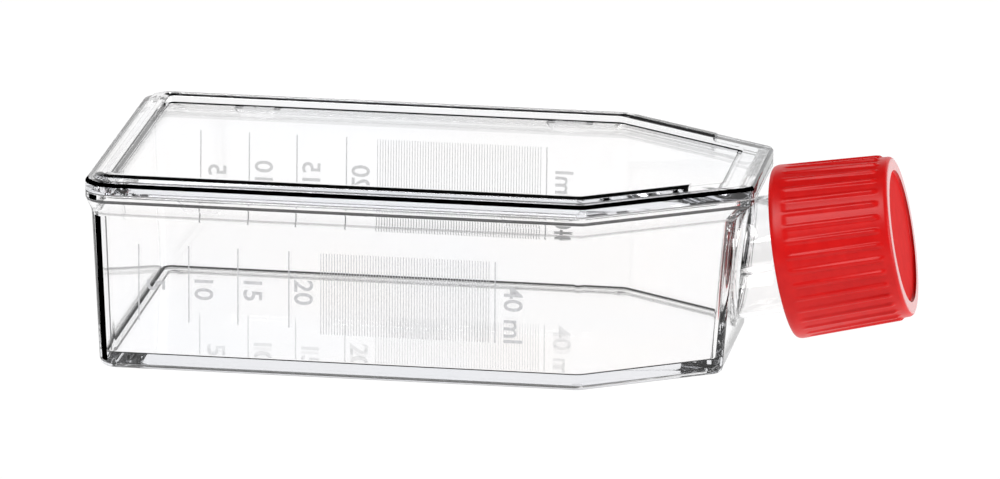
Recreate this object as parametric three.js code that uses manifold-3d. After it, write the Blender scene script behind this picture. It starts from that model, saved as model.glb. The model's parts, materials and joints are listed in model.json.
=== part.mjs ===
// Cell culture flask, 25 square centimetres of growth area, lying on its floor.
// Millimetres, +Z up. +X runs from the base end to the screw cap, Y is across.
// The origin is under the middle of the flask's overall length, on the bench.
//
// flask_body   clear moulded tray: floor, side walls, shoulders, weld flange and canted neck
// top_plate    clear moulded lid, welded on the tray's flange, with a stacking rib and lugs
// seal_disc    soft disc between the neck's mouth and the cap's roof
// screw_cap    ribbed cap that turns on the neck's thread

import * as THREE from 'three';
import { mergeVertices } from 'three/addons/utils/BufferGeometryUtils.js';
import Module from 'manifold-3d';

const wasm = await Module();
wasm.setup();

// ---------------------------------------------------------------- driving dimensions

// Plan of the lid
const PLATE_LENGTH = 75;
const PLATE_WIDTH = 42;
const SHOULDER_START = 57.2; // where the sides turn in towards the neck
const NECK_END_WIDTH = 18.6;
const CORNER_RADIUS = 3.4; // at the base end
const SHOULDER_RADIUS = 1.6;
const NECK_CORNER_RADIUS = 1.2;

// Lid section
const RIM_THICKNESS = 1.4;
const RIM_EDGE_WIDTH = 0.25; // the lid's upper edge is eased by this much
const RIM_EDGE_DROP = 0.32;
const RIB_LEDGE = 0.96; // lid edge left outside the raised stacking rib
const RIB_WIDTH = 2.34;
const RIB_HEIGHT = 0.63;
const RIB_WALL_LEAN = 0.24; // the rib's outer wall leans in by this much
const RIB_CREST_START = 0.94; // where the rib's flat crest begins, from its outer foot
const RIB_CREST_WIDTH = 0.6;
const RIB_CREST_FALL = 0.18; // the rib's shoulders lie this far under its crest
const RIB_STOP = 7; // the rib ends this far short of the neck end
const WINDOW_DEPTH = 0.35; // window face below the lid's edge
const WINDOW_THICKNESS = 1.8;

// Locating lugs under the lid
const LUG_STATIONS = [13.5, 50.1]; // from the base end
const LUG_TOP_LENGTH = 5.4;
const LUG_BOTTOM_LENGTH = 3.7;
const LUG_DEPTH = 0.96; // below the window
const LUG_THICKNESS = 1.08;

// Tray
const SEAM_HEIGHT = 20.5;
const WALL = 1.2;
const BASE_WALL = 0.9;
const DRAFT = 0.0175; // outward lean of the side walls, per millimetre of height
const BASE_DRAFT = 0.052;
const NECK_WALL_LEAN = 0.072;
const FLANGE_THICKNESS = 0.76;
const FLARE_HEIGHT = 1.58; // the wall flares out to the flange over this height
const SIDE_OVERHANG = 0.7; // lid past the wall, at the sides
const BASE_OVERHANG = 0.6;
const NECK_OVERHANG = 1.764;
const FLOOR_THICKNESS = 1.2;
const UNDERSIDE_RECESS = 0.5;
const BASE_RIM_WIDTH = 1.6;
const BOTTOM_EDGE_RADIUS = 0.9;

// Neck
const NECK_HEIGHT = 11; // axis above the bench where it leaves the end wall
const NECK_CANT = 10.8; // degrees upward
const NECK_BORE = 11;
const NECK_WALL = 1.27;
const NECK_ROOT_FLARE = 0.6;
const THREAD_HEIGHT = 1.25;
const THREAD_PITCH = 3.2;
const THREAD_BASE = 1.4;
const THREAD_CREST = 0.7;
const THREAD_START = 4.6; // first turn, from the end wall
const NECK_TURNS = 2;
const CAP_TURNS = 1.25;

// Cap and seal
const CAP_STANDOFF = 5.2; // open edge of the closed cap, from the end wall
const CAP_LENGTH = 13.6;
const CAP_WALL = 1.65;
const CAP_TAPER = 0.55; // radius lost from the open edge to the closed end
const CAP_EDGE_RADIUS = 0.9;
const CAP_ROOF = 0.95;
const CAP_END_RADIUS = 0.35;
const CAP_RECESS = 0.4;
const CAP_LIP = 1.9; // flat lip round the recess
const RIB_COUNT = 36;
const RIB_GROOVE_START = 0.1; // depth between the ribs by the open edge
const RIB_GROOVE_END = 0.3; // and by the closed end
const LIP_BAND = 1.5; // plain band at the open edge
const END_BAND = 1.1; // plain band at the closed end
const SEAL_THICKNESS = 1;

// Clearances
const PLUG_CLEARANCE = 0.32;
const THREAD_CLEARANCE = 0.33;
const SEAT_CLEARANCE = 0.3;

// ---------------------------------------------------------------- derived values

const overlap = 0.5; // how far cutters and joined pieces reach into each other
const shoulderSlope = (PLATE_WIDTH - NECK_END_WIDTH) / 2 / (PLATE_LENGTH - SHOULDER_START);
const shoulderTurn = Math.atan(shoulderSlope);
const rimHeight = SEAM_HEIGHT + RIM_THICKNESS;
const ribTop = rimHeight + RIB_HEIGHT;
const windowTop = rimHeight - WINDOW_DEPTH;
const windowBottom = windowTop - WINDOW_THICKNESS;
const flangeBottom = SEAM_HEIGHT - FLANGE_THICKNESS;
const flareStart = flangeBottom - FLARE_HEIGHT;
const floorTop = UNDERSIDE_RECESS + FLOOR_THICKNESS;
const frameWidth = RIB_LEDGE + RIB_WIDTH;
const crestStart = RIB_LEDGE + RIB_CREST_START;
const crestEnd = crestStart + RIB_CREST_WIDTH;
const plugInset = WALL + SIDE_OVERHANG + PLUG_CLEARANCE; // clear of the flared wall at any height

const neckRadius = NECK_BORE / 2 + NECK_WALL;
const threadRadius = neckRadius + THREAD_HEIGHT;
const capBore = threadRadius + THREAD_CLEARANCE;
const capRadius = capBore + CAP_WALL;
const capEnd = CAP_STANDOFF + CAP_LENGTH;
const capRoofInside = capEnd - CAP_RECESS - CAP_ROOF;
const sealStart = capRoofInside - SEAT_CLEARANCE - SEAL_THICKNESS;
const neckLength = sealStart - SEAT_CLEARANCE;
const neckRootX = PLATE_LENGTH - NECK_OVERHANG - NECK_WALL_LEAN * (SEAM_HEIGHT - NECK_HEIGHT);

// ---------------------------------------------------------------- shapes in plan

// A polygon whose corners are rounded; every corner is { x, y, r }.
function roundedPolygon(corners) {
  const shape = new THREE.Shape();
  corners.forEach((corner, i) => {
    const here = new THREE.Vector2(corner.x, corner.y);
    const before = corners[(i + corners.length - 1) % corners.length];
    const after = corners[(i + 1) % corners.length];
    const toBefore = new THREE.Vector2(before.x, before.y).sub(here).normalize();
    const toAfter = new THREE.Vector2(after.x, after.y).sub(here).normalize();
    const reach = corner.r * Math.tan((Math.PI - toBefore.angleTo(toAfter)) / 2);
    const start = here.clone().addScaledVector(toBefore, reach);
    const middle = toBefore.clone().add(toAfter).setLength(Math.hypot(reach, corner.r)).add(here);
    const from = start.sub(middle).angle();
    const to = here.clone().addScaledVector(toAfter, reach).sub(middle).angle();
    shape.absarc(middle.x, middle.y, corner.r, from, to, false);
  });
  return shape;
}

// The flask's outline in plan, with each group of edges moved in from the lid's edge.
function flaskOutline({ side = 0, base = side, end = side } = {}) {
  const half = PLATE_WIDTH / 2 - side;
  const bendX = SHOULDER_START - side * Math.tan(shoulderTurn / 2);
  const endX = PLATE_LENGTH - end;
  const endHalf = half - shoulderSlope * (endX - bendX);
  const cornerRadius = Math.max(CORNER_RADIUS - side, WALL / 2);
  const right = [
    { x: base, y: -half, r: cornerRadius },
    { x: bendX, y: -half, r: SHOULDER_RADIUS },
    { x: endX, y: -endHalf, r: NECK_CORNER_RADIUS },
  ];
  const left = right.map(({ x, y, r }) => ({ x, y: -y, r })).reverse();
  return roundedPolygon([...right, ...left]);
}

// Insets of the tray's outer face at a height, before the flare.
function wallInsets(z, inward = 0, baseInward = inward) {
  const below = SEAM_HEIGHT - z;
  return {
    side: SIDE_OVERHANG + DRAFT * below + inward,
    base: BASE_OVERHANG + BASE_DRAFT * below + baseInward,
    end: NECK_OVERHANG + NECK_WALL_LEAN * below + inward,
  };
}

// ---------------------------------------------------------------- solids

// Skins a row of rings, each an array of Vector3 with the same count, and caps both ends.
function loft(rings) {
  const count = rings[0].length;
  const positions = rings.flat().flatMap((p) => p.toArray());
  const index = [];
  for (let level = 0; level + 1 < rings.length; level++) {
    for (let i = 0; i < count; i++) {
      const a = level * count + i;
      const b = level * count + ((i + 1) % count);
      index.push(a, b, b + count, a, b + count, a + count);
    }
  }
  capRing(rings[0]).forEach(([a, b, c]) => index.push(a, c, b));
  const last = (rings.length - 1) * count;
  capRing(rings.at(-1)).forEach(([a, b, c]) => index.push(last + a, last + b, last + c));
  const geometry = new THREE.BufferGeometry();
  geometry.setAttribute('position', new THREE.Float32BufferAttribute(positions, 3));
  geometry.setIndex(index);
  return geometry;
}

// Triangles of a flat ring, worked out in its own plane.
function capRing(ring) {
  const normal = new THREE.Vector3();
  ring.forEach((p, i) => normal.add(new THREE.Vector3().crossVectors(p, ring[(i + 1) % ring.length])));
  const turn = new THREE.Quaternion().setFromUnitVectors(normal.normalize(), new THREE.Vector3(0, 0, 1));
  const flat = ring.map((p) => {
    const q = p.clone().applyQuaternion(turn);
    return new THREE.Vector2(q.x, q.y);
  });
  return THREE.ShapeUtils.triangulateShape(flat, []);
}

// A level ring of an outline at height z.
function ringAt(shape, z) {
  const points = shape.getPoints(5);
  if (points[0].distanceTo(points.at(-1)) < 1e-6) points.pop();
  return points.map((p) => new THREE.Vector3(p.x, p.y, z));
}

// A straight-sided slab of an outline between two heights.
function slab(insets, bottom, top) {
  const shape = flaskOutline(insets);
  return solid(loft([ringAt(shape, bottom), ringAt(shape, top)]));
}

function solid(geometry) {
  const bare = geometry.clone();
  bare.deleteAttribute('normal');
  bare.deleteAttribute('uv');
  const merged = mergeVertices(bare, 1e-5);
  const positions = new Float32Array(merged.attributes.position.array);
  const triangles = new Uint32Array(merged.index.array);
  if (signedVolume(positions, triangles) < 0) {
    for (let i = 0; i < triangles.length; i += 3) {
      [triangles[i], triangles[i + 1]] = [triangles[i + 1], triangles[i]];
    }
  }
  const mesh = new wasm.Mesh({ numProp: 3, vertProperties: positions, triVerts: triangles });
  return new wasm.Manifold(mesh);
}

function signedVolume(positions, triangles) {
  const corner = (i) => new THREE.Vector3().fromArray(positions, 3 * triangles[i]);
  let volume = 0;
  for (let i = 0; i < triangles.length; i += 3) {
    volume += corner(i).dot(corner(i + 1).cross(corner(i + 2)));
  }
  return volume;
}

function toGeometry(manifold) {
  const mesh = manifold.getMesh();
  const geometry = new THREE.BufferGeometry();
  geometry.setAttribute('position', new THREE.Float32BufferAttribute(mesh.vertProperties, 3));
  geometry.setIndex(new THREE.Uint32BufferAttribute(mesh.triVerts, 1));
  geometry.computeVertexNormals();
  return geometry;
}

// A body turned about +Z from a closed profile of [radius, z] points.
function turned(profile, segments = 48) {
  const points = profile.map(([r, z]) => new THREE.Vector2(r, z));
  if (points[0].distanceTo(points.at(-1)) > 0 && points[0].x > 0) points.push(points[0].clone());
  const lathe = new THREE.LatheGeometry(points, segments);
  return solid(lathe.rotateX(Math.PI / 2));
}

// A helical ridge about +Z. Its root is at radius `root`, its crest `height` away from it
// (negative for a ridge that points inward), and it fades out over its first and last steps.
function threadRidge({ root, height, start, turns, phase = 0 }) {
  const stepsPerTurn = 28;
  const fade = 3;
  const steps = Math.round(turns * stepsPerTurn);
  const sink = -Math.sign(height) * overlap;
  const rings = [];
  for (let i = 0; i <= steps; i++) {
    const share = Math.min(1, i / fade, (steps - i) / fade);
    const crest = root + height * share;
    const angle = phase + (2 * Math.PI * turns * i) / steps;
    const middle = start + (THREAD_PITCH * turns * i) / steps;
    const profile = [
      [root + sink, -THREAD_BASE / 2],
      [crest, -THREAD_CREST / 2],
      [crest, THREAD_CREST / 2],
      [root + sink, THREAD_BASE / 2],
    ];
    rings.push(
      profile.map(([r, dz]) => new THREE.Vector3(r * Math.cos(angle), r * Math.sin(angle), middle + dz)),
    );
  }
  return solid(loft(rings));
}

// ---------------------------------------------------------------- flask body

// From the neck's own frame (+Z along its axis) to the flask's frame.
const neckFrame = new THREE.Group();
neckFrame.position.set(neckRootX, 0, NECK_HEIGHT);
neckFrame.rotation.y = Math.PI / 2 - THREE.MathUtils.degToRad(NECK_CANT);
neckFrame.updateMatrixWorld();

function placeOnNeck(manifold) {
  const geometry = toGeometry(manifold).applyMatrix4(neckFrame.matrixWorld);
  return solid(geometry);
}

function trayOutside() {
  const steps = 4;
  const rings = [];
  for (let i = 0; i <= steps; i++) {
    const angle = (Math.PI / 2) * (i / steps);
    const z = BOTTOM_EDGE_RADIUS * (1 - Math.cos(angle));
    const inward = BOTTOM_EDGE_RADIUS * (1 - Math.sin(angle));
    rings.push(ringAt(flaskOutline(wallInsets(z, inward)), z));
  }
  rings.push(ringAt(flaskOutline(wallInsets(flareStart)), flareStart));
  rings.push(ringAt(flaskOutline(), flangeBottom));
  rings.push(ringAt(flaskOutline(), SEAM_HEIGHT));
  return solid(loft(rings));
}

function trayCavity() {
  const mouth = { side: WALL, base: BASE_WALL, end: WALL + (NECK_OVERHANG - SIDE_OVERHANG) / 2 };
  return solid(
    loft([
      ringAt(flaskOutline(wallInsets(floorTop, WALL, BASE_WALL)), floorTop),
      ringAt(flaskOutline(wallInsets(flareStart, WALL, BASE_WALL)), flareStart),
      ringAt(flaskOutline(mouth), flangeBottom),
      ringAt(flaskOutline(mouth), SEAM_HEIGHT + overlap),
    ]),
  );
}

function undersideRecess() {
  return slab(wallInsets(0, BASE_RIM_WIDTH), -overlap, UNDERSIDE_RECESS);
}

function neckOutside() {
  const tube = turned([
    [0, -neckRadius / 2],
    [neckRadius + NECK_ROOT_FLARE, -neckRadius / 2],
    [neckRadius + NECK_ROOT_FLARE, 0],
    [neckRadius, NECK_ROOT_FLARE],
    [neckRadius, neckLength - NECK_WALL / 4],
    [neckRadius - NECK_WALL / 4, neckLength],
    [0, neckLength],
  ]);
  const ridge = threadRidge({
    root: neckRadius,
    height: THREAD_HEIGHT,
    start: THREAD_START,
    turns: NECK_TURNS,
  });
  return placeOnNeck(tube.add(ridge));
}

function neckBore() {
  const radius = NECK_BORE / 2;
  return placeOnNeck(
    turned([
      [0, -NECK_BORE],
      [radius, -NECK_BORE],
      [radius, neckLength + overlap],
      [0, neckLength + overlap],
    ]),
  );
}

function flaskBody() {
  return trayOutside()
    .add(neckOutside())
    .subtract(trayCavity())
    .subtract(neckBore())
    .subtract(undersideRecess());
}

// ---------------------------------------------------------------- top plate

// A body between level outlines, each row an inset from the lid's edge and a height.
function plateStack(rows) {
  return solid(loft(rows.map(([inset, z]) => ringAt(flaskOutline({ side: inset }), z))));
}

function rimPlate() {
  return plateStack([
    [0, SEAM_HEIGHT],
    [0, rimHeight - RIM_EDGE_DROP],
    [RIM_EDGE_WIDTH, rimHeight],
  ]);
}

function stackingRib() {
  const stopX = PLATE_LENGTH - RIB_STOP;
  const outer = plateStack([
    [RIB_LEDGE, rimHeight - overlap],
    [RIB_LEDGE, rimHeight],
    [RIB_LEDGE + RIB_WALL_LEAN, ribTop - RIB_CREST_FALL],
    [crestStart, ribTop],
  ]);
  const inner = plateStack([
    [frameWidth, rimHeight - 2 * overlap],
    [frameWidth, windowTop],
    [frameWidth - RIB_WALL_LEAN / 2, ribTop - RIB_CREST_FALL],
    [crestEnd, ribTop],
    [crestEnd, ribTop + overlap],
  ]);
  const keep = new THREE.BoxGeometry(PLATE_LENGTH, 2 * PLATE_WIDTH, 4 * overlap + RIB_HEIGHT);
  keep.translate(stopX - PLATE_LENGTH / 2, 0, rimHeight);
  return outer.subtract(inner).intersect(solid(keep));
}

function locatingLug(station, y) {
  const shape = new THREE.Shape();
  shape.moveTo(station - LUG_TOP_LENGTH / 2, windowBottom + overlap);
  shape.lineTo(station - LUG_TOP_LENGTH / 2, windowBottom);
  shape.lineTo(station - LUG_BOTTOM_LENGTH / 2, windowBottom - LUG_DEPTH);
  shape.lineTo(station + LUG_BOTTOM_LENGTH / 2, windowBottom - LUG_DEPTH);
  shape.lineTo(station + LUG_TOP_LENGTH / 2, windowBottom);
  shape.lineTo(station + LUG_TOP_LENGTH / 2, windowBottom + overlap);
  shape.closePath();
  const geometry = new THREE.ExtrudeGeometry(shape, { depth: LUG_THICKNESS, bevelEnabled: false });
  geometry.rotateX(Math.PI / 2);
  geometry.translate(0, y + LUG_THICKNESS / 2, 0);
  return solid(geometry);
}

function topPlate() {
  const lugY = PLATE_WIDTH / 2 - plugInset - LUG_THICKNESS / 2;
  let plate = rimPlate()
    .add(slab({ side: plugInset, end: plugInset + NECK_OVERHANG }, windowBottom, SEAM_HEIGHT + overlap))
    .subtract(slab({ side: frameWidth }, windowTop, ribTop + overlap))
    .add(stackingRib());
  for (const station of LUG_STATIONS) {
    for (const y of [-lugY, lugY]) plate = plate.add(locatingLug(station, y));
  }
  return plate;
}

// ---------------------------------------------------------------- cap and seal, on the neck's axis

// One ribbed ring of the cap's outside: grooves of the given depth between the ribs.
function ribbedRing(radius, groove, z) {
  const ring = [];
  const pitch = (2 * Math.PI) / RIB_COUNT;
  for (let i = 0; i < RIB_COUNT; i++) {
    const corners = [
      [-0.08, 0],
      [0.08, 0],
      [0.22, groove],
      [0.78, groove],
    ];
    for (const [share, depth] of corners) {
      const angle = (i + share) * pitch;
      const r = radius - depth;
      ring.push(new THREE.Vector3(r * Math.cos(angle), r * Math.sin(angle), z));
    }
  }
  return ring;
}

function capOutside() {
  const radiusAt = (z) => capRadius - (CAP_TAPER * (z - CAP_STANDOFF)) / CAP_LENGTH;
  const edge = CAP_EDGE_RADIUS;
  const rings = [];
  for (const angle of [0, 0.25, 0.5].map((share) => share * Math.PI)) {
    const z = CAP_STANDOFF + edge * (1 - Math.cos(angle));
    rings.push(ribbedRing(radiusAt(z) - edge * (1 - Math.sin(angle)), 0, z));
  }
  const ribStart = CAP_STANDOFF + LIP_BAND;
  const ribEnd = capEnd - END_BAND;
  rings.push(ribbedRing(radiusAt(ribStart), 0, ribStart));
  rings.push(ribbedRing(radiusAt(ribStart), RIB_GROOVE_START, ribStart + RIB_GROOVE_START));
  rings.push(ribbedRing(radiusAt(ribEnd), RIB_GROOVE_END, ribEnd));
  const endRadius = radiusAt(capEnd) - RIB_GROOVE_END;
  rings.push(ribbedRing(endRadius, 0, ribEnd + RIB_GROOVE_END));
  for (const angle of [0, 0.25, 0.5].map((share) => share * Math.PI)) {
    const inward = CAP_END_RADIUS * (1 - Math.cos(angle));
    rings.push(ribbedRing(endRadius - inward, 0, capEnd - CAP_END_RADIUS * (1 - Math.sin(angle))));
  }
  return solid(loft(rings));
}

function screwCap() {
  const recessRadius = capRadius - CAP_TAPER - CAP_LIP;
  const hollow = turned([
    [0, CAP_STANDOFF - overlap],
    [capBore + overlap, CAP_STANDOFF - overlap],
    [capBore, CAP_STANDOFF + overlap],
    [capBore, capRoofInside],
    [0, capRoofInside],
  ]);
  const recess = turned([
    [0, capEnd - CAP_RECESS],
    [recessRadius - CAP_RECESS / 2, capEnd - CAP_RECESS],
    [recessRadius, capEnd + overlap],
    [0, capEnd + overlap],
  ]);
  // The cap's thread runs half a pitch above the neck's, so the two never touch.
  const firstTurn = CAP_STANDOFF + LIP_BAND + overlap;
  const turnsBelow = (firstTurn - THREAD_START - THREAD_PITCH / 2) / THREAD_PITCH;
  const ridge = threadRidge({
    root: capBore,
    height: -THREAD_HEIGHT,
    start: firstTurn,
    turns: CAP_TURNS,
    phase: 2 * Math.PI * turnsBelow,
  });
  return capOutside().subtract(hollow).subtract(recess).add(ridge);
}

function sealDisc() {
  const radius = capBore - SEAT_CLEARANCE;
  return turned([
    [0, sealStart],
    [radius, sealStart],
    [radius, sealStart + SEAL_THICKNESS],
    [0, sealStart + SEAL_THICKNESS],
  ]);
}

// ---------------------------------------------------------------- materials and assembly

const clearPolystyrene = { color: 0xeef3f6, roughness: 0.06, metalness: 0, transparent: true, opacity: 0.35 };
const trayMaterial = new THREE.MeshStandardMaterial(clearPolystyrene);
const lidMaterial = new THREE.MeshStandardMaterial({ ...clearPolystyrene, opacity: 0.3 });
const capMaterial = new THREE.MeshStandardMaterial({ color: 0xd02a28, roughness: 0.35, metalness: 0 });
const sealMaterial = new THREE.MeshStandardMaterial({ color: 0xf1efe8, roughness: 0.7, metalness: 0 });

function named(name, manifold, material) {
  const mesh = new THREE.Mesh(toGeometry(manifold), material);
  mesh.name = name;
  return mesh;
}

neckFrame.add(named('seal_disc', sealDisc(), sealMaterial));
neckFrame.add(named('screw_cap', screwCap(), capMaterial));

const flask = new THREE.Group();
flask.add(named('flask_body', flaskBody(), trayMaterial));
flask.add(named('top_plate', topPlate(), lidMaterial));
flask.add(neckFrame);

const extent = new THREE.Box3().setFromObject(flask, true);
flask.position.x = -(extent.min.x + extent.max.x) / 2;

export default flask;
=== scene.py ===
"""Cell culture flask: the finish of its clear body, lid, red cap and liner, with light and camera.

Lengths are in millimetres until a mesh is made. Plans are measured from the base end (x),
the middle (y) and the bench (z); the neck has a frame of its own along its axis.
"""
import json
import math

import bmesh
import bpy
from mathutils import Matrix, Vector


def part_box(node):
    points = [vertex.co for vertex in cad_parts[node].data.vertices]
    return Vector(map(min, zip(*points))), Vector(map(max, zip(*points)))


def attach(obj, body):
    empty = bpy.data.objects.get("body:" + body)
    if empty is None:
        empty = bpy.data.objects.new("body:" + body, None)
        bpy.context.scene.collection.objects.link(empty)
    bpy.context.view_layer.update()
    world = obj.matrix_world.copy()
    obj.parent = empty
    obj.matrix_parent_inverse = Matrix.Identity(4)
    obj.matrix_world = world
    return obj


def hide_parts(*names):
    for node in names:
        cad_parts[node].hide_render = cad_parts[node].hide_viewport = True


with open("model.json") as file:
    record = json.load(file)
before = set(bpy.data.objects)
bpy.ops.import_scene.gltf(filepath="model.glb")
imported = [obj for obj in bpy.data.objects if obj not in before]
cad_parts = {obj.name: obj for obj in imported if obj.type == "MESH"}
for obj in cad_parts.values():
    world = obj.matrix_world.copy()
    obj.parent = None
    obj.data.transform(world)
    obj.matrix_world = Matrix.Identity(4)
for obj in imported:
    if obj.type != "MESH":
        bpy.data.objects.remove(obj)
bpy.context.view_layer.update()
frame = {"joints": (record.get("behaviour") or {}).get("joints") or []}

MM = 0.001

# ---------------------------------------------------------------- sizes from the frame

plate_low, plate_high = (Vector(corner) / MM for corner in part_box("top_plate"))
cap_turn = next(joint for joint in frame["joints"] if joint["name"] == "cap_turn")
BASE_X = plate_low.x
PLATE_LENGTH = plate_high.x - plate_low.x
PLATE_WIDTH = 2 * plate_high.y
RIB_TOP = plate_high.z
NECK_ORIGIN = Vector(cap_turn["pos_m"]) / MM
NECK_AXIS = Vector(cap_turn["axis"]).normalized()

# ---------------------------------------------------------------- sizes of the mouldings

# Plan
SHOULDER_START = 57.2
NECK_END_WIDTH = 18.6
CORNER_RADIUS = 3.4
SHOULDER_RADIUS = 1.6
NECK_CORNER_RADIUS = 1.2

# Lid section
RIM_THICKNESS = 1.4
RIM_EDGE_WIDTH = 0.25
RIM_EDGE_DROP = 0.32
RIB_LEDGE = 0.96
RIB_WIDTH = 2.34
RIB_HEIGHT = 0.63
RIB_WALL_LEAN = 0.24
RIB_CREST_START = 0.94
RIB_CREST_WIDTH = 0.6
RIB_CREST_FALL = 0.18
RIB_FOOT_WIDTH = 0.05
RIB_FOOT_HEIGHT = 0.1
RIB_STOP = 7
RIB_STUB = 0.02  # left of the rib where it is cut off
WINDOW_DEPTH = 0.35
WINDOW_THICKNESS = 1.8
LUG_STATIONS = (13.5, 50.1)
LUG_TOP_LENGTH = 5.4
LUG_BOTTOM_LENGTH = 3.7
LUG_DEPTH = 0.96
LUG_THICKNESS = 1.08
LUG_SINK = 0.2
PLUG_CLEARANCE = 0.32
WELD_GAP = 0.02

# Tray section
WALL = 1.2
BASE_WALL = 0.9
DRAFT = 0.0175
BASE_DRAFT = 0.052
NECK_WALL_LEAN = 0.072
FLANGE_THICKNESS = 0.76
FLARE_HEIGHT = 1.58
FLARE_EDGE = 0.5
SIDE_OVERHANG = 0.7
BASE_OVERHANG = 0.6
NECK_OVERHANG = 1.764
FLOOR_THICKNESS = 1.2
UNDERSIDE_RECESS = 0.5
RECESS_CHAMFER = 0.15
RECESS_DRAFT = 0.1
BASE_RIM_WIDTH = 1.6
BOTTOM_EDGE = 0.9
INNER_EDGE = 0.3

# Neck; the thread's flanks are eased, so it is a little wider at the root than a straight one
NECK_BORE = 11
NECK_WALL = 1.27
ROOT_FILLET = 0.8
MOUTH_EDGE = 0.4
BORE_EDGE = 0.3
THREAD_HEIGHT = 1.25
THREAD_PITCH = 3.2
THREAD_BASE = 1.5
THREAD_CREST = 0.55
THREAD_START = 4.6
THREAD_FADE = 0.09  # of a turn, at each end
THREAD_CLEARANCE = 0.33
NECK_TURNS = 2
PARTING_RIDGE = 0.08

# Cap and liner
CAP_STANDOFF = 5.2
CAP_LENGTH = 13.6
CAP_WALL = 1.65
CAP_TAPER = 0.55
CAP_EDGE = 0.9
CAP_END_EDGE = 0.3
CAP_ROOF = 0.95
CAP_RECESS = 0.4
RECESS_WALL_LEAN = 0.2
CAP_LIP = 1.9
LEAD_IN_WIDTH = 0.5
LEAD_IN_DEPTH = 0.4
CAP_THREAD_START = 2  # from the open edge
CAP_TURNS = 1.25
RIB_COUNT = 36
RIB_GROOVE_START = 0.1
RIB_GROOVE_END = 0.3
RIB_FLANK_START = 0.06  # shares of the rib spacing, from a rib's middle
RIB_FLANK_END = 0.24
RIB_RUN_OUT = 0.5
LIP_BAND = 1.5
END_BAND = 1.1
LINER_THICKNESS = 1
LINER_STEP = 0.12
LINER_STEP_START = 1.6
LINER_STEP_END = 1.3
SEAT_CLEARANCE = 0.3

# Derived sizes
RIM_TOP = RIB_TOP - RIB_HEIGHT
WINDOW_TOP = RIM_TOP - WINDOW_DEPTH
WINDOW_BOTTOM = WINDOW_TOP - WINDOW_THICKNESS
SEAM = RIM_TOP - RIM_THICKNESS
FLANGE_BOTTOM = SEAM - FLANGE_THICKNESS
FLARE_START = FLANGE_BOTTOM - FLARE_HEIGHT
FLOOR_TOP = UNDERSIDE_RECESS + FLOOR_THICKNESS
FRAME_WIDTH = RIB_LEDGE + RIB_WIDTH
PLUG_INSET = WALL + SIDE_OVERHANG + PLUG_CLEARANCE
SHOULDER_SLOPE = (PLATE_WIDTH - NECK_END_WIDTH) / 2 / (PLATE_LENGTH - SHOULDER_START)
SHOULDER_TURN = math.atan(SHOULDER_SLOPE)
NECK_RADIUS = NECK_BORE / 2 + NECK_WALL
CAP_BORE = NECK_RADIUS + THREAD_HEIGHT + THREAD_CLEARANCE
CAP_RADIUS = CAP_BORE + CAP_WALL
RECESS_RADIUS = CAP_RADIUS - CAP_TAPER - CAP_LIP
CAP_END = CAP_STANDOFF + CAP_LENGTH
ROOF_INSIDE = CAP_END - CAP_RECESS - CAP_ROOF
NECK_LENGTH = ROOF_INSIDE - LINER_THICKNESS - 2 * SEAT_CLEARANCE

# Fineness of the meshes, and where their closing rows lie
OVERRUN = 1  # of a cutter past the face that it opens
FLOOR_INSET = 3
FACE_INSET = 2
SEAM_INSET = 1
HUB = 0.5  # radius of the ring that closes a turned end
CORNER_STEPS = 16
SHOULDER_STEPS = 6
NECK_CORNER_STEPS = 8
NECK_COLUMNS = 144
NECK_ROWS = 150
CAP_COLUMNS = RIB_COUNT * 16
CAP_ROW_STEP = 0.25
LINER_COLUMNS = 96
MERGE_DISTANCE = 1e-7  # metres
CLEAR_SHARP_ANGLE = 38  # degrees, past which an edge stays crisp
TURNED_SHARP_ANGLE = 60


# ---------------------------------------------------------------- meshes

def make_object(name, verts, faces):
    """An object from points in millimetres, with its faces turned outward."""
    mesh = bpy.data.meshes.new(name)
    mesh.from_pydata([Vector(v) * MM for v in verts], [], faces)
    obj = bpy.data.objects.new(name, mesh)
    bpy.context.scene.collection.objects.link(obj)
    bm = bmesh.new()
    bm.from_mesh(mesh)
    bmesh.ops.recalc_face_normals(bm, faces=bm.faces)
    bm.to_mesh(mesh)
    bm.free()
    return obj


def register(obj, body, nodes=()):
    """Lets a shown piece ride on its body, in place of the nodes it replaces."""
    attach(obj, body)
    if nodes:
        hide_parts(*nodes)


def skin(rings):
    """Points and faces of a closed skin over rings of the same count, with both ends capped."""
    count = len(rings[0])
    verts = [point for ring in rings for point in ring]
    faces = []
    for level in range(len(rings) - 1):
        for i in range(count):
            a = level * count + i
            b = level * count + (i + 1) % count
            faces.append((a, b, b + count, a + count))
    last = (len(rings) - 1) * count
    faces.append(tuple(reversed(range(count))))
    faces.append(tuple(range(last, last + count)))
    return verts, faces


def combine(obj, tool, operation):
    """Joins or cuts obj with a closed tool, which is used up."""
    modifier = obj.modifiers.new("join", "BOOLEAN")
    modifier.object = tool
    modifier.operation = operation
    modifier.solver = "MANIFOLD"
    apply_modifiers(obj)
    bpy.data.objects.remove(tool)


def apply_modifiers(obj):
    graph = bpy.context.evaluated_depsgraph_get()
    mesh = bpy.data.meshes.new_from_object(obj.evaluated_get(graph))
    old = obj.data
    obj.modifiers.clear()
    obj.data = mesh
    bpy.data.meshes.remove(old)
    mesh.name = obj.name


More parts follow.
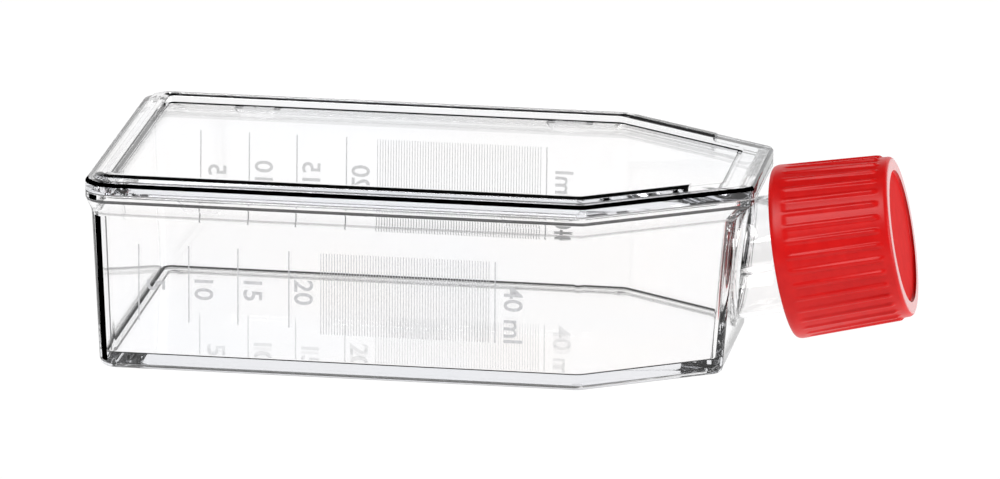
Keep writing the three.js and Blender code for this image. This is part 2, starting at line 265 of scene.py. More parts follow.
def shade(obj, sharp_angle):
    """Smooth shading that keeps flats flat and edges past sharp_angle (degrees) crisp."""
    bm = bmesh.new()
    bm.from_mesh(obj.data)
    bmesh.ops.remove_doubles(bm, verts=bm.verts, dist=MERGE_DISTANCE)
    bmesh.ops.dissolve_degenerate(bm, edges=bm.edges, dist=MERGE_DISTANCE)
    limit = math.radians(sharp_angle)
    for edge in bm.edges:
        edge.smooth = not edge.is_manifold or edge.calc_face_angle(0) < limit
    for face in bm.faces:
        face.smooth = True
    bm.to_mesh(obj.data)
    bm.free()
    modifier = obj.modifiers.new("flat faces stay flat", "WEIGHTED_NORMAL")
    modifier.keep_sharp = True
    modifier.weight = 60
    apply_modifiers(obj)


def paint_shade_on_edges(obj, bands, corners=(), front_only=False):
    """Paints shade on the narrow faces along moulded edges, for the dark refraction a clear part shows
    there.

    bands are (lowest, highest, shade) heights of sloping faces, all round or on the front only.
    corners are (reach, side, lowest, highest, shade) of steep faces: how far they lie from the
    base end, which way they face across the flask, and the range of their normal's x.
    """
    # Painted shade: a value per face that darkens the clear material along these edges.
    marks = obj.data.attributes.new("edge_painted_shade", "FLOAT", "FACE")
    for face in obj.data.polygons:
        normal = face.normal
        heights = [obj.data.vertices[i].co.z / MM for i in face.vertices]
        shades = [0]
        if abs(normal.z) < 0.999 and (normal.y < 0 or not front_only):
            shades += [dark for low, high, dark in bands if low < min(heights) and max(heights) < high]
        if abs(normal.z) < 0.1:
            from_base = face.center.x / MM - BASE_X
            for reach, side, low, high, dark in corners:
                if from_base < reach and normal.y * side > 0 and low < normal.x < high:
                    shades.append(dark)
        marks.data[face.index].value = max(shades)


# ---------------------------------------------------------------- plans and profiles

def arc_corner(before, here, after, radius, steps):
    """Points along the arc that rounds the corner at here."""
    back = (before - here).normalized()
    ahead = (after - here).normalized()
    turn = math.pi - back.angle(ahead)
    reach = radius * math.tan(turn / 2)
    middle = here + (back + ahead).normalized() * math.hypot(reach, radius)
    start = here + back * reach - middle
    side = 1 if back.cross(ahead) < 0 else -1
    return [middle + Matrix.Rotation(side * turn * i / steps, 2) @ start for i in range(steps + 1)]


def plan(side, base, end):
    """The flask's outline in plan, each group of edges moved in from the lid's edge."""
    half = PLATE_WIDTH / 2 - side
    bend = SHOULDER_START - side * math.tan(SHOULDER_TURN / 2)
    end_x = PLATE_LENGTH - end
    end_half = half - SHOULDER_SLOPE * (end_x - bend)
    right = [
        (Vector((base, -half)), max(CORNER_RADIUS - side, WALL / 2), CORNER_STEPS),
        (Vector((bend, -half)), SHOULDER_RADIUS, SHOULDER_STEPS),
        (Vector((end_x, -end_half)), NECK_CORNER_RADIUS, NECK_CORNER_STEPS),
    ]
    left = [(Vector((corner.x, -corner.y)), radius, steps) for corner, radius, steps in reversed(right)]
    corners = right + left
    points = []
    for i, (here, radius, steps) in enumerate(corners):
        after = corners[(i + 1) % len(corners)][0]
        points += arc_corner(corners[i - 1][0], here, after, radius, steps)
    return points


def wall_row(z, inward, radius=0, base_inward=None):
    """A profile row on the tray's wall, moved inward from its outer face."""
    below = SEAM - z
    side = SIDE_OVERHANG + DRAFT * below + inward
    base = BASE_OVERHANG + BASE_DRAFT * below + (inward if base_inward is None else base_inward)
    end = NECK_OVERHANG + NECK_WALL_LEAN * below + inward
    return (side, base, end, z, radius)


def lid_row(inset, z, radius=0):
    """A profile row that lies evenly inside the lid's edge."""
    return (inset, inset, inset, z, radius)


def rounded(rows, steps=4):
    """Points (side, base, end, z) of rows, each corner eased by a curve that starts its fifth value away."""
    points = [Vector(row[:4]) for row in rows]
    eased = []
    for i, row in enumerate(rows):
        here, radius = points[i], row[4]
        if not radius:
            eased.append(here)
            continue
        start = toward(here, points[i - 1], radius)
        stop = toward(here, points[i + 1], radius)
        for k in range(steps + 1):
            t = k / steps
            eased.append((1 - t) ** 2 * start + 2 * t * (1 - t) * here + t ** 2 * stop)
    return eased


def toward(here, other, distance):
    """The point a distance from here along the profile, at most halfway to the other one."""
    run = math.hypot(other[0] - here[0], other[3] - here[3])
    return here.lerp(other, min(distance / run, 0.5))


def plan_skin(rows, steps=4):
    """A closed skin over a profile of plan rows, in the row frame."""
    rings = []
    for side, base, end, z in rounded(rows, steps):
        rings.append([Vector((p.x + BASE_X, p.y, z)) for p in plan(side, base, end)])
    return skin(rings)


# ---------------------------------------------------------------- neck frame

DOWN = Vector((NECK_AXIS.z, 0, -NECK_AXIS.x))
ACROSS = Vector((0, 1, 0))
# How far along the axis the leaning end wall lies for each millimetre under the axis
WALL_SHEAR = -math.tan(math.atan(NECK_WALL_LEAN) + math.asin(NECK_AXIS.z))


def neck_point(radius, angle, along):
    return NECK_ORIGIN + NECK_AXIS * along + (DOWN * math.cos(angle) + ACROSS * math.sin(angle)) * radius


def turned_skin(rows, columns, radius_at):
    """A closed skin of rings round the neck's axis; radius_at(row, angle) gives each radius."""
    rings = []
    for row in rows:
        angles = [2 * math.pi * i / columns for i in range(columns)]
        rings.append([neck_point(radius_at(row, angle), angle, row[1]) for angle in angles])
    return skin(rings)


def thread(angle, along, start, turns):
    """Share of the thread's full height at a place, fading in and out at its ends."""
    share = 0
    for turn in range(-1, math.ceil(turns) + 1):
        progress = angle / (2 * math.pi) + turn
        if not 0 <= progress <= turns:
            continue
        offset = abs(along - start - THREAD_PITCH * progress)
        slope = (THREAD_BASE / 2 - offset) / (THREAD_BASE / 2 - THREAD_CREST / 2)
        fade = min(1, progress / THREAD_FADE, (turns - progress) / THREAD_FADE)
        share = max(share, ease(slope) * ease(fade))
    return share


def ease(t):
    """0 to 1 along a smooth step."""
    t = min(max(t, 0), 1)
    return t * t * (3 - 2 * t)


# ---------------------------------------------------------------- flask body

def tray_outside():
    return plan_skin([
        wall_row(0, FLOOR_INSET),
        wall_row(0, 0, BOTTOM_EDGE),
        wall_row(FLARE_START, 0, FLARE_EDGE),
        lid_row(0, FLANGE_BOTTOM, 0.15),
        lid_row(0, SEAM, 0.12),
        lid_row(SEAM_INSET, SEAM),
    ], 6)


def tray_cavity():
    mouth = (WALL, BASE_WALL, WALL + (NECK_OVERHANG - SIDE_OVERHANG) / 2)
    return plan_skin([
        wall_row(FLOOR_TOP, WALL + FLOOR_INSET),
        wall_row(FLOOR_TOP, WALL, INNER_EDGE, BASE_WALL),
        wall_row(FLARE_START, WALL, FLARE_EDGE, BASE_WALL),
        (*mouth, FLANGE_BOTTOM, FLARE_EDGE / 2),
        (*mouth, SEAM + OVERRUN, 0),
    ], 6)


def underside_recess():
    roof = BASE_RIM_WIDTH + RECESS_DRAFT
    return plan_skin([
        wall_row(-OVERRUN, BASE_RIM_WIDTH - OVERRUN - RECESS_CHAMFER),
        wall_row(RECESS_CHAMFER, BASE_RIM_WIDTH, 0.1),
        wall_row(UNDERSIDE_RECESS, roof, 0.15),
        wall_row(UNDERSIDE_RECESS, BASE_RIM_WIDTH + FACE_INSET),
    ])


def root_fillet(angle, along, radius, offset):
    """Extra radius where the neck's skin runs out into the end wall."""
    height = along - WALL_SHEAR * radius * math.cos(angle) - offset
    reach = min(max(1 - height / ROOT_FILLET, 0), 1)
    return ROOT_FILLET * (1 - math.sqrt(1 - reach ** 2))


def neck_outside():
    """The neck from inside the end wall to its mouth, with thread, root fillet and parting ridges."""
    start = -3
    run = NECK_LENGTH - MOUTH_EDGE - start
    rows = [(0, start + run * i / NECK_ROWS) for i in range(NECK_ROWS + 1)]
    edge_steps = 5
    for i in range(1, edge_steps + 1):
        turn = math.pi / 2 * i / edge_steps
        rows.append((MOUTH_EDGE * (1 - math.cos(turn)), NECK_LENGTH - MOUTH_EDGE * (1 - math.sin(turn))))

    def radius_at(row, angle):
        edge, along = row
        radius = NECK_RADIUS + root_fillet(angle, along, NECK_RADIUS, 0)
        radius += THREAD_HEIGHT * thread(angle, along, THREAD_START, NECK_TURNS)
        at_side = abs(abs(math.sin(angle)) - 1) < 1e-4
        if at_side:
            radius += PARTING_RIDGE
        return radius - edge

    return turned_skin(rows, NECK_COLUMNS, radius_at)


def neck_bore():
    """The bore's cutter, with close rows where it runs out into the chamber."""
    radius = NECK_BORE / 2
    sink, run_out, spacing = 8, 3.6, 0.12
    rows = [(0, -sink)] + [(0, spacing * i - run_out) for i in range(40)]
    rows.append((0, NECK_LENGTH - BORE_EDGE))
    rows.append((BORE_EDGE / 3, NECK_LENGTH - BORE_EDGE / 3))
    rows.append((BORE_EDGE, NECK_LENGTH))
    rows.append((BORE_EDGE, NECK_LENGTH + OVERRUN))

    def radius_at(row, angle):
        edge, along = row
        return radius + edge + root_fillet(angle, -along, -radius, WALL)

    return turned_skin(rows, NECK_COLUMNS, radius_at)


# Heights and strengths of the painted shade on moulded edges, for the dark refraction they show
TRAY_PAINTED_SHADE_BANDS = (
    (-0.01, 0.28, 0.6),
    (FLOOR_TOP - 0.01, FLOOR_TOP + 0.14, 1),
    (FLARE_START - 0.2, FLARE_START + 0.2, 0.25),
    (FLANGE_BOTTOM - 0.2, FLANGE_BOTTOM + 0.06, 0.85),
)
LID_PAINTED_SHADE_BANDS = (
    (WINDOW_BOTTOM - 0.01, WINDOW_BOTTOM + 0.14, 0.7),
    (SEAM, SEAM + 0.15, 0.6),
    (RIM_TOP - RIM_EDGE_DROP - 0.12, RIM_TOP + 0.01, 1),
    (RIM_TOP - 0.01, RIM_TOP + 0.11, 0.8),
)
# Painted shade on steep faces at the base end's corners, for the dark refraction there
TRAY_PAINTED_SHADE_CORNERS = (
    (4, -1, -0.99, -0.87, 0.8),  # outer corner, by the base wall
    (4, -1, -0.76, -0.5, 1),  # outer corner, by the front wall
    (5, 1, 0.19, 0.3, 0.7),  # inner corner, by the front wall
)


def flask_body():
    body = make_object("flask_shell", *tray_outside())
    combine(body, make_object("neck", *neck_outside()), "UNION")
    combine(body, make_object("cavity", *tray_cavity()), "DIFFERENCE")
    combine(body, make_object("bore", *neck_bore()), "DIFFERENCE")
    combine(body, make_object("recess", *underside_recess()), "DIFFERENCE")
    shade(body, CLEAR_SHARP_ANGLE)
    paint_shade_on_edges(body, TRAY_PAINTED_SHADE_BANDS, TRAY_PAINTED_SHADE_CORNERS)
    register(body, "flask", ["flask_body"])
    return body


# ---------------------------------------------------------------- lid

def plate_skin():
    """The lid from the plug's underside over the rim and the stacking rib to the window."""
    inner = PLUG_INSET + FACE_INSET
    plug_row = (PLUG_INSET, PLUG_INSET, PLUG_INSET + NECK_OVERHANG)
    crest = RIB_LEDGE + RIB_CREST_START
    return plan_skin([
        (inner, inner, inner + NECK_OVERHANG, WINDOW_BOTTOM, 0),
        (*plug_row, WINDOW_BOTTOM, 0.12),
        (*plug_row, SEAM + WELD_GAP, 0.05),
        lid_row(0, SEAM + WELD_GAP, 0.12),
        lid_row(0, RIM_TOP - RIM_EDGE_DROP, 0.1),
        lid_row(RIM_EDGE_WIDTH, RIM_TOP, 0.1),
        lid_row(RIB_LEDGE, RIM_TOP, 0.03),
        lid_row(RIB_LEDGE + RIB_FOOT_WIDTH, RIM_TOP + RIB_FOOT_HEIGHT),
        lid_row(RIB_LEDGE + RIB_WALL_LEAN, RIB_TOP - RIB_CREST_FALL, 0.08),
        lid_row(crest, RIB_TOP, 0.1),
        lid_row(crest + RIB_CREST_WIDTH, RIB_TOP, 0.1),
        lid_row(FRAME_WIDTH - RIB_WALL_LEAN / 2, RIB_TOP - RIB_CREST_FALL, 0.12),
        lid_row(FRAME_WIDTH, WINDOW_TOP, 0.12),
        lid_row(FRAME_WIDTH + FACE_INSET, WINDOW_TOP),
    ])


def rib_end_cutter():
    """A block that takes the rib off the lid's neck end."""
    start = BASE_X + PLATE_LENGTH - RIB_STOP
    reach = PLATE_WIDTH / 2
    corners = ((start, -reach), (start + reach, -reach), (start + reach, reach), (start, reach))
    rings = [[Vector((x, y, z)) for x, y in corners] for z in (RIM_TOP + RIB_STUB, RIB_TOP + RIB_HEIGHT)]
    return skin(rings)


def lug(station, y):
    """A tapered locating lug that hangs from the lid's plug."""
    rows = [
        (WINDOW_BOTTOM - LUG_DEPTH, LUG_BOTTOM_LENGTH / 2),
        (WINDOW_BOTTOM, LUG_TOP_LENGTH / 2),
        (WINDOW_BOTTOM + LUG_SINK, LUG_TOP_LENGTH / 2),
    ]
    rings = []
    for z, half in rows:
        middle = Vector((BASE_X + station, y, z))
        spans = [(-half, -1), (half, -1), (half, 1), (-half, 1)]
        rings.append([middle + Vector((dx, sign * LUG_THICKNESS / 2, 0)) for dx, sign in spans])
    return skin(rings)


def top_plate():
    plate = make_object("lid", *plate_skin())
    combine(plate, make_object("rib_end", *rib_end_cutter()), "DIFFERENCE")
    lug_y = PLATE_WIDTH / 2 - PLUG_INSET - LUG_THICKNESS / 2
    for station in LUG_STATIONS:
        for y in (-lug_y, lug_y):
            combine(plate, make_object("lug", *lug(station, y)), "UNION")
    shade(plate, CLEAR_SHARP_ANGLE)
    paint_shade_on_edges(plate, LID_PAINTED_SHADE_BANDS, front_only=True)
    register(plate, "flask", ["top_plate"])
    return plate


# ---------------------------------------------------------------- cap and liner

def eased_turn(rows, steps=5):
    """Rows of (radius, along), each corner eased by a curve that starts its third value away."""
    flat = [(radius, 0, 0, along, cut) for radius, along, cut in rows]
    return [(row[0], row[3]) for row in rounded(flat, steps)]


def subdivide(rows, longest):
    """Rows with no step longer than a given length."""
    fine = [rows[0]]
    for before, after in zip(rows, rows[1:]):
        parts = math.ceil(math.hypot(after[0] - before[0], after[1] - before[1]) / longest)
        for k in range(1, parts + 1):
            t = k / parts
            fine.append((before[0] + (after[0] - before[0]) * t, before[1] + (after[1] - before[1]) * t))
    return fine


def cap_radius(along):
    return CAP_RADIUS - CAP_TAPER * (along - CAP_STANDOFF) / CAP_LENGTH


def groove(angle, along):
    """Depth of the grooves between the cap's narrow ribs, which stand out more toward its end."""
    share = angle / (2 * math.pi) * RIB_COUNT % 1
    from_rib = min(share, 1 - share)
    across = 1 - ease((RIB_FLANK_END - from_rib) / (RIB_FLANK_END - RIB_FLANK_START))
    run_in = ease((along - CAP_STANDOFF - LIP_BAND) / RIB_RUN_OUT)
    run_out = ease((CAP_END - END_BAND - along) / RIB_RUN_OUT)
    depth = RIB_GROOVE_START + (RIB_GROOVE_END - RIB_GROOVE_START) * (along - CAP_STANDOFF) / CAP_LENGTH
    return depth * (across * run_in * run_out + 1 - run_out)


def cap_inside():
    return eased_turn([
        (HUB, ROOF_INSIDE, 0),
        (CAP_BORE, ROOF_INSIDE, 0.5),
        (CAP_BORE, CAP_STANDOFF + LEAD_IN_DEPTH, 0.2),
        (CAP_BORE + LEAD_IN_WIDTH, CAP_STANDOFF, 0),
    ])


def cap_outside():
    end_edge_start = CAP_END - CAP_END_EDGE
    return eased_turn([
        (CAP_BORE + LEAD_IN_WIDTH, CAP_STANDOFF, 0),
        (cap_radius(CAP_STANDOFF), CAP_STANDOFF, CAP_EDGE),
        (cap_radius(end_edge_start), end_edge_start, 0.2),
        (cap_radius(CAP_END) - CAP_END_EDGE, CAP_END, 0.25),
        (RECESS_RADIUS + RECESS_WALL_LEAN, CAP_END, 0.12),
        (RECESS_RADIUS, CAP_END - CAP_RECESS, 0.12),
        (HUB, CAP_END - CAP_RECESS, 0),
    ], 8)


def screw_cap():
    rows = [(*row, "inside") for row in subdivide(cap_inside(), CAP_ROW_STEP)]
    rows += [(*row, "outside") for row in subdivide(cap_outside(), CAP_ROW_STEP)[1:]]
    first_turn = CAP_STANDOFF + CAP_THREAD_START
    # The cap's thread runs midway between two turns of the neck's
    phase = 2 * math.pi * (first_turn - THREAD_START - THREAD_PITCH / 2) / THREAD_PITCH

    def radius_at(row, angle):
        radius, along, face = row
        if face == "inside" and radius > CAP_BORE - 0.01:
            place = (angle - phase) % (2 * math.pi)
            return radius - THREAD_HEIGHT * thread(place, along, first_turn, CAP_TURNS)
        if face == "outside" and radius > RECESS_RADIUS + 0.3:
            return radius - groove(angle, along)
        return radius

    cap = make_object("ribbed_cap", *turned_skin(rows, CAP_COLUMNS, radius_at))
    shade(cap, TURNED_SHARP_ANGLE)
    mark_finish(cap)
    register(cap, "cap", ["screw_cap"])
    return cap


def mark_finish(cap):
    """Marks the polished lip (1) and the matt disc inside it (-1) on the cap's closed end."""
    marks = cap.data.attributes.new("finish", "FLOAT", "FACE")
    for face in cap.data.polygons:
        place = face.center / MM - NECK_ORIGIN
        along = place.dot(NECK_AXIS)
        radius = (place - NECK_AXIS * along).length
        if along > CAP_END - CAP_RECESS - 0.01 and face.normal.dot(NECK_AXIS) > 0.9:
            marks.data[face.index].value = 1 if radius > RECESS_RADIUS + 0.1 else -1


def seal_disc():
    """The liner, with a thicker middle toward the neck's mouth."""
    radius = CAP_BORE - SEAT_CLEARANCE
    top = ROOF_INSIDE - SEAT_CLEARANCE
    bottom = top - LINER_THICKNESS
    rows = eased_turn([
        (HUB, bottom, 0),
        (radius - LINER_STEP_START, bottom, 0.3),
        (radius - LINER_STEP_END, bottom + LINER_STEP, 0.2),
        (radius, bottom + LINER_STEP, 0.2),
        (radius, top, 0.2),
        (HUB, top, 0),
    ])
    disc = make_object("cap_liner", *turned_skin(rows, LINER_COLUMNS, lambda row, angle: row[0]))
    shade(disc, TURNED_SHARP_ANGLE)
    register(disc, "seal", ["seal_disc"])
    return disc


# ---------------------------------------------------------------- print

LINE_WIDTH = 0.15
INK = 0.02
SCALE_LINES = (6.57, 12.3, 17.92, 23.75)
SCALE_BOTTOM, SCALE_TOP = 5.9, 14.9
FIELD_START, FIELD_END = 27.4, 46.55
FIELD_BOTTOM, FIELD_TOP = 5.3, 14.8
FIELD_LINES = 62
FIELD_LINE_SHARE = 0.27  # of the lines' spacing
FIELD_EDGE = 47.25
DIGIT_HEIGHT = 2.1
DIGIT_SHARE = 0.7  # of the font's size that a digit's height takes
DIGIT_BOLDNESS = 0.02  # of a digit's height, added to its strokes
BACK_PRINT_LIFT = 1.5
# Text, x of its base line and z of its upper end
NUMBERS = (
    ("5", 7.5, 10.9),
    ("10", 13.0, 11.6),
    ("15", 18.6, 11.7),
    ("20", 24.4, 11.6),
    ("40 ml", 48.3, 12.0),
)


def wall_frame(side, lift):
    """Matrix from print coordinates (x, z, out) to the outer face of one long wall."""
    lean = Vector((0, side * DRAFT, 1)).normalized()
    out = lean.cross(Vector((1, 0, 0))) * side
    face = PLATE_WIDTH / 2 - SIDE_OVERHANG - DRAFT * SEAM
    origin = Vector((BASE_X, side * face, lift))
    return Matrix((
        (1, lean.x, out.x, origin.x),
        (0, lean.y, out.y, origin.y),
        (0, lean.z, out.z, origin.z),
        (0, 0, 0, 1),
    ))


def bar(x, z0, z1, width):
    """A thin upright bar of ink in print coordinates."""
    half = width / 2
    corners = ((x - half, z0), (x + half, z0), (x + half, z1), (x - half, z1))
    return skin([[Vector((px, pz, out)) for px, pz in corners] for out in (INK / 2, INK * 1.5)])


def number_mesh(text, x, z, side):
    """A number along the wall's height, its top toward the cap, right way round from outside."""
    curve = bpy.data.curves.new("number", "FONT")
    curve.body = text
    curve.size = DIGIT_HEIGHT / DIGIT_SHARE
    curve.extrude = INK / 2
    curve.offset = DIGIT_HEIGHT * DIGIT_BOLDNESS
    curve.resolution_u = 4
    holder = bpy.data.objects.new("number", curve)
    bpy.context.scene.collection.objects.link(holder)
    graph = bpy.context.evaluated_depsgraph_get()
    mesh = bpy.data.meshes.new_from_object(holder.evaluated_get(graph))
    bpy.data.objects.remove(holder)
    start = z if side < 0 else z - max(v.co.x for v in mesh.vertices)
    verts = [Vector((x + v.co.y, start + side * v.co.x, v.co.z + INK)) for v in mesh.vertices]
    faces = [tuple(poly.vertices) for poly in mesh.polygons]
    bpy.data.meshes.remove(mesh)
    return verts, faces


def print_side(name, side, lift):
    """All the ink on one long wall: scale lines, numbers and a hatched writing field."""
    spacing = (FIELD_END - FIELD_START) / (FIELD_LINES - 1)
    parts = [bar(x, SCALE_BOTTOM, SCALE_TOP, LINE_WIDTH) for x in SCALE_LINES]
    parts.append(bar(FIELD_EDGE, FIELD_BOTTOM, FIELD_TOP, LINE_WIDTH))
    for i in range(FIELD_LINES):
        parts.append(bar(FIELD_START + spacing * i, FIELD_BOTTOM, FIELD_TOP, spacing * FIELD_LINE_SHARE))
    parts += [number_mesh(*number, side) for number in NUMBERS]
    place = wall_frame(side, lift)
    verts, faces = [], []
    for part_verts, part_faces in parts:
        first = len(verts)
        verts += [place @ v for v in part_verts]
        faces += [tuple(first + i for i in face) for face in part_faces]
    piece = make_object(name, verts, faces)
    register(piece, "flask")
    return piece


# ---------------------------------------------------------------- materials

POLYSTYRENE_IOR = 1.59
POLYSTYRENE_ABSORPTION = 5
POLYETHYLENE_IOR = 1.54


def new_material(name):
    material = bpy.data.materials.new(name)
    material.use_nodes = True
    nodes = material.node_tree.nodes
    return material, nodes, material.node_tree.links, nodes["Principled BSDF"]


def noise(nodes, links, scale, detail=2.0):
    """A noise texture in object space; scale is in repeats per metre."""
    place = nodes.new("ShaderNodeTexCoord")
    texture = nodes.new("ShaderNodeTexNoise")
    texture.inputs["Scale"].default_value = scale
    texture.inputs["Detail"].default_value = detail
    links.new(place.outputs["Object"], texture.inputs["Vector"])
    return texture.outputs["Fac"]


def map_range(nodes, links, source, before, after):
    """Takes one range of a value to another, each given as (first, last)."""
    node = nodes.new("ShaderNodeMapRange")
    node.inputs["From Min"].default_value, node.inputs["From Max"].default_value = before
    node.inputs["To Min"].default_value, node.inputs["To Max"].default_value = after
    links.new(source, node.inputs["Value"])
    return node.outputs["Result"]


def two_colours(nodes, links, source, low, high):
    """A blend of two colours over the middle of a 0 to 1 value."""
    node = nodes.new("ShaderNodeValToRGB")
    node.color_ramp.elements[0].color = (*low, 1)
    node.color_ramp.elements[1].color = (*high, 1)
    node.color_ramp.elements[0].position = 0.35
    node.color_ramp.elements[1].position = 0.65
    links.new(source, node.inputs["Fac"])
    return node.outputs["Color"]


def bump(nodes, links, source, strength, distance):
    node = nodes.new("ShaderNodeBump")
    node.inputs["Strength"].default_value = strength
    node.inputs["Distance"].default_value = distance
    links.new(source, node.inputs["Height"])
    return node.outputs["Normal"]


def attribute(nodes, name):
    """The value that a mesh holds under a name."""
    node = nodes.new("ShaderNodeAttribute")
    node.attribute_name = name
    return node.outputs["Fac"]


def clear_polystyrene():
    """Clear plastic that turns black and dull on marked moulded edges: painted shade for the dark refraction
    there.
    """
    material, nodes, links, shader = new_material("clear_polystyrene")
    shader.inputs["IOR"].default_value = POLYSTYRENE_IOR
    tint = two_colours(nodes, links, noise(nodes, links, 40), (0.985, 0.99, 1.0), (1.0, 0.99, 0.985))
    # Painted shade: marked edges lose colour, transmission and reflection
    edge = attribute(nodes, "edge_painted_shade")
    clear = map_range(nodes, links, edge, (0, 1), (1, 0))
    dim = nodes.new("ShaderNodeVectorMath")
    dim.operation = "SCALE"
    links.new(tint, dim.inputs[0])
    links.new(clear, dim.inputs["Scale"])
    links.new(dim.outputs[0], shader.inputs["Base Color"])
    links.new(clear, shader.inputs["Transmission Weight"])
    links.new(map_range(nodes, links, edge, (0, 1), (0.5, 0)), shader.inputs["Specular IOR Level"])
    haze = map_range(nodes, links, noise(nodes, links, 900), (0, 1), (0, 0.015))
    links.new(haze, shader.inputs["Roughness"])
    absorb = nodes.new("ShaderNodeVolumeAbsorption")
    absorb.inputs["Color"].default_value = (0.2, 0.25, 0.4, 1)
    absorb.inputs["Density"].default_value = POLYSTYRENE_ABSORPTION
    links.new(absorb.outputs[0], nodes["Material Output"].inputs["Volume"])
    return material


def red_polyethylene():
    """Mottled red plastic, glossy on the marked lip and matt on the marked disc."""
    material, nodes, links, shader = new_material("red_polyethylene")
    shader.inputs["IOR"].default_value = POLYETHYLENE_IOR
    mottle = noise(nodes, links, 700, 4)
    finish = attribute(nodes, "finish")
    colour = two_colours(nodes, links, mottle, (0.70, 0.008, 0.008), (0.76, 0.011, 0.010))
    links.new(colour, shader.inputs["Base Color"])
    links.new(map_range(nodes, links, finish, (-1, 0), (0.75, 0.34)), shader.inputs["Roughness"])
    links.new(map_range(nodes, links, finish, (-1, 1), (0.1, 0.3)), shader.inputs["Specular IOR Level"])
    links.new(map_range(nodes, links, finish, (0, 1), (0, 1)), shader.inputs["Coat Weight"])
    links.new(map_range(nodes, links, mottle, (0, 1), (0.05, 0.1)), shader.inputs["Coat Roughness"])
    links.new(bump(nodes, links, mottle, 0.1, 0.00005), shader.inputs["Normal"])
    return material


def soft_liner():
    material, nodes, links, shader = new_material("seal_liner")
    grain = noise(nodes, links, 4000, 3)
    colour = two_colours(nodes, links, grain, (0.80, 0.78, 0.72), (0.87, 0.86, 0.80))
    links.new(colour, shader.inputs["Base Color"])
    links.new(map_range(nodes, links, grain, (0, 1), (0.6, 0.8)), shader.inputs["Roughness"])
    links.new(bump(nodes, links, grain, 0.2, 0.0001), shader.inputs["Normal"])
    return material


def pale_ink():
    material, nodes, links, shader = new_material("print_ink")
    shader.inputs["Roughness"].default_value = 0.6
    speckle = noise(nodes, links, 3000, 3)
    colour = two_colours(nodes, links, speckle, (0.66, 0.66, 0.68), (0.8, 0.8, 0.82))
    links.new(colour, shader.inputs["Base Color"])
    links.new(map_range(nodes, links, speckle, (0, 1), (0.6, 0.75)), shader.inputs["Alpha"])
    return material


def dress(obj, material):
    obj.data.materials.clear()
    obj.data.materials.append(material)


# ---------------------------------------------------------------- stage, light and camera

GROUND_GLOW = 1.03  # floor and horizon share it, so no line shows between them
SKY_GLOW = 0.02
FLOOR_REACH = 20000
FLOOR_DROP = 0.05


def direction(azimuth, elevation):
    """Unit vector from the flask, turned from its front toward the cap and raised, in radians."""
    level = math.cos(elevation)
    return Vector((math.sin(azimuth) * level, -math.cos(azimuth) * level, math.sin(elevation)))


def floor_glow():
    material = bpy.data.materials.new("floor_glow")
    material.use_nodes = True
    nodes = material.node_tree.nodes
    nodes.clear()
    emission = nodes.new("ShaderNodeEmission")
    emission.inputs["Strength"].default_value = GROUND_GLOW
    output = nodes.new("ShaderNodeOutputMaterial")
    material.node_tree.links.new(emission.outputs["Emission"], output.inputs["Surface"])
    return material


def pale_floor():
    corners = [(-1, -1), (1, -1), (1, 1), (-1, 1)]
    verts = [Vector((x * FLOOR_REACH, y * FLOOR_REACH, -FLOOR_DROP)) for x, y in corners]
    floor = make_object("floor", verts, [(0, 1, 2, 3)])
    dress(floor, floor_glow())


def studio_world():
    """A white horizon behind the flask, under a dark ceiling and against a dark room in front."""
    world = bpy.data.worlds.new("studio")
    bpy.context.scene.world = world
    world.use_nodes = True
    nodes, links = world.node_tree.nodes, world.node_tree.links
    place = nodes.new("ShaderNodeTexCoord")
    split = nodes.new("ShaderNodeSeparateXYZ")
    links.new(place.outputs["Generated"], split.inputs["Vector"])
    low = map_range(nodes, links, split.outputs["Z"], (0.56, 0.46), (0, 1))
    behind = map_range(nodes, links, split.outputs["Y"], (0.3, 0.5), (0, 1))
    both = nodes.new("ShaderNodeMath")
    both.operation = "MULTIPLY"
    links.new(low, both.inputs[0])
    links.new(behind, both.inputs[1])
    brightness = map_range(nodes, links, both.outputs[0], (0, 1), (SKY_GLOW, GROUND_GLOW))
    links.new(brightness, nodes["Background"].inputs["Color"])


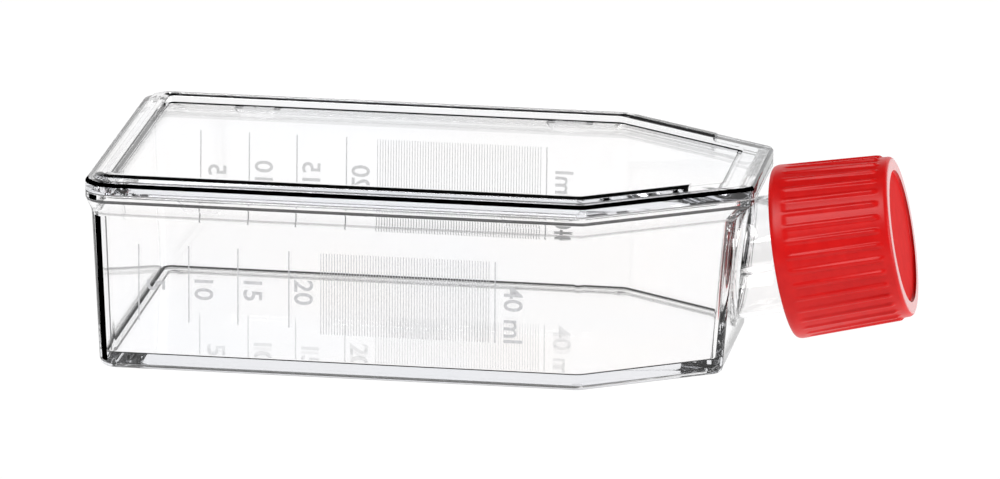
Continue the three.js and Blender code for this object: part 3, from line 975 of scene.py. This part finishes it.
def softbox(name, azimuth, elevation, distance, size, power):
    """A square light aimed at the flask, by its direction in degrees and its distance in metres."""
    light = bpy.data.lights.new(name, "AREA")
    light.shape = "SQUARE"
    light.size = size
    light.energy = power
    holder = bpy.data.objects.new(name, light)
    bpy.context.scene.collection.objects.link(holder)
    away = direction(math.radians(azimuth), math.radians(elevation))
    holder.location = away * distance
    holder.rotation_euler = away.to_track_quat("Z", "Y").to_euler()


CAMERA_AZIMUTH = 8.43
CAMERA_ELEVATION = 15.27
CAMERA_ROLL = 0.51
CAMERA_DISTANCE = 1231
CAMERA_AIM = Vector((44.772 + BASE_X, 0, 11.847))
CAMERA_LENS = 388.07
SENSOR_WIDTH = 36


def place_camera():
    data = bpy.data.cameras.new("camera")
    data.lens = CAMERA_LENS
    data.sensor_width = SENSOR_WIDTH
    data.clip_end = 10  # metres
    camera = bpy.data.objects.new("camera", data)
    bpy.context.scene.collection.objects.link(camera)
    roll = math.radians(CAMERA_ROLL)
    back = direction(math.radians(CAMERA_AZIMUTH), math.radians(CAMERA_ELEVATION))
    level = Vector((0, 0, 1)).cross(back).normalized()
    upright = back.cross(level)
    right = level * math.cos(roll) + upright * math.sin(roll)
    up = upright * math.cos(roll) - level * math.sin(roll)
    turned = Matrix((right, up, back)).transposed().to_4x4()
    camera.matrix_world = Matrix.Translation((CAMERA_AIM + back * CAMERA_DISTANCE) * MM) @ turned
    bpy.context.scene.camera = camera


def set_view():
    """Plain colours, and enough bounces for light to pass through all the clear walls."""
    scene = bpy.context.scene
    scene.view_settings.view_transform = "Standard"
    scene.cycles.max_bounces = 32
    scene.cycles.glossy_bounces = 10
    scene.cycles.transmission_bounces = 24
    scene.cycles.transparent_max_bounces = 24


# ---------------------------------------------------------------- assembly

place_camera()
pale_floor()
studio_world()
softbox("key_light", azimuth=-35, elevation=55, distance=0.9, size=0.5, power=6)
softbox("fill_light", azimuth=82, elevation=12, distance=0.7, size=0.3, power=2.2)
set_view()

polystyrene = clear_polystyrene()
ink = pale_ink()
dress(flask_body(), polystyrene)
dress(top_plate(), polystyrene)
dress(screw_cap(), red_polyethylene())
dress(seal_disc(), soft_liner())
dress(print_side("print_front", -1, 0), ink)
dress(print_side("print_back", 1, BACK_PRINT_LIFT), ink)
